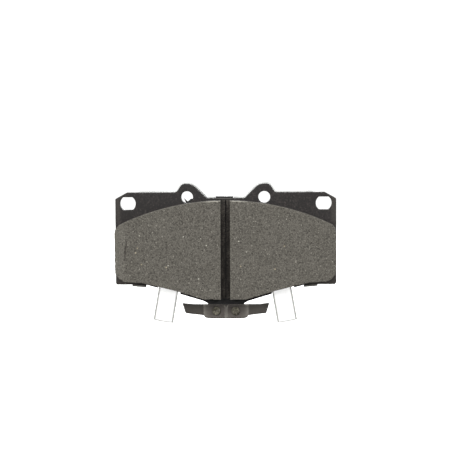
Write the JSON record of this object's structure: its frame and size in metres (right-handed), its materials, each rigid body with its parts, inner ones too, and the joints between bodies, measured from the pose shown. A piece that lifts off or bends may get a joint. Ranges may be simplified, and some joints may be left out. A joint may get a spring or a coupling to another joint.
{
  "type": "disc brake pad",
  "caption": "Disc brake pad for a fixed caliper: slotted friction blocks on a steel plate with two humps and pin holes, layered shims, peel-off liner tabs and riveted wear leaves.",
  "frame": {"origin": "midway between the axes of the two retaining-pin holes in the plate's ears, on the plate's back face", "axes": "+X along the pad, +Z towards the edge with the pin holes, -Y out of the friction faces towards the disc, +Y out of the back towards the pistons"},
  "size_m": [0.1224, 0.0181, 0.0787],
  "materials": {
    "plate": "satin",
    "stainless": "satin",
    "coated_steel": "satin",
    "rubber": "matte",
    "underlayer": "matte",
    "friction": "matte",
    "adhesive": "gloss",
    "liner": "matte",
    "spring_steel": "satin",
    "rivet_steel": "satin"
  },
  "bodies": {
    "pad": {"backing_plate": "plate", "inner_shim": "stainless", "outer_shim": "coated_steel", "shim_rubber_layer": "rubber", "underlayer_left": "underlayer", "underlayer_right": "underlayer", "friction_block_left": "friction", "friction_block_right": "friction", "adhesive_strip_left": "adhesive", "adhesive_strip_right": "adhesive", "release_liner_left": "liner", "release_liner_right": "liner", "wear_leaf_left": "spring_steel", "wear_leaf_right": "spring_steel", "rivet_left": "rivet_steel", "rivet_right": "rivet_steel"},
    "wing_left": {"wear_wing_left": "spring_steel"},
    "wing_right": {"wear_wing_right": "spring_steel"},
    "tab_left": {"pull_tab_left": "liner"},
    "tab_right": {"pull_tab_right": "liner"}
  },
  "joints": [
    {"name": "wing_flex_left", "type": "hinge", "parent": "pad", "child": "wing_left", "pos_m": [-0.0124, -0.0064, -0.0595], "axis": [0, 0, -1], "range_deg": [0, 15], "stiffness_Nm_per_rad": 6},
    {"name": "wing_flex_right", "type": "hinge", "parent": "pad", "child": "wing_right", "pos_m": [0.0124, -0.0064, -0.0595], "axis": [0, 0, 1], "range_deg": [0, 15], "stiffness_Nm_per_rad": 6},
    {"name": "tab_fold_left", "type": "hinge", "parent": "pad", "child": "tab_left", "pos_m": [-0.03264, 0.00145, -0.05038], "axis": [0.9854, 0, -0.1702], "range_deg": [0, 165], "stiffness_Nm_per_rad": 0.0001},
    {"name": "tab_fold_right", "type": "hinge", "parent": "pad", "child": "tab_right", "pos_m": [0.03124, 0.00145, -0.05038], "axis": [0.9854, 0, 0.1702], "range_deg": [0, 165], "stiffness_Nm_per_rad": 0.0001}
  ]
}
